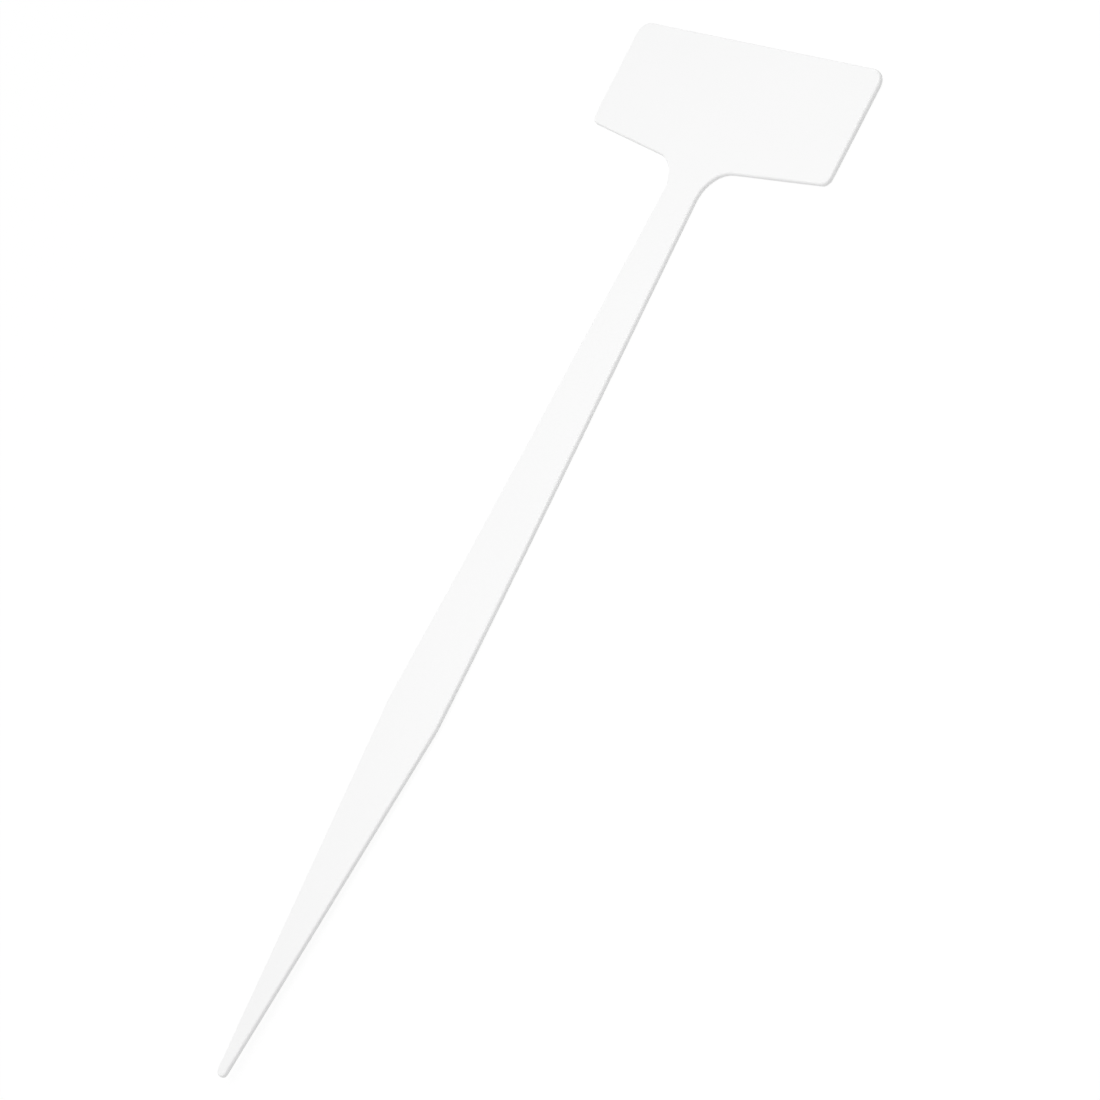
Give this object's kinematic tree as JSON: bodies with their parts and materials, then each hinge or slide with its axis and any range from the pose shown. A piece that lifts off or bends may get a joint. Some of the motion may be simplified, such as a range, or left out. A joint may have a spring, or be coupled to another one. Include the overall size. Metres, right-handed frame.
{
  "type": "plant label stake",
  "caption": "T-shaped moulded plastic plant label with a wide blank writing head and a long flat stem that swells to shoulders and tapers to a point for pushing into soil.",
  "frame": {"origin": "on the plane of the flat back, in the middle of the stake's length and of the head's width", "axes": "+Y from the tip to the head, +X to the right across the writing face, +Z out of the writing face"},
  "size_m": [0.075, 0.25, 0.0037],
  "materials": {
    "white_plastic": "satin moulded white plastic with a very fine even texture"
  },
  "bodies": {
    "root": {"label_stake": "white_plastic"}
  },
  "joints": []
}
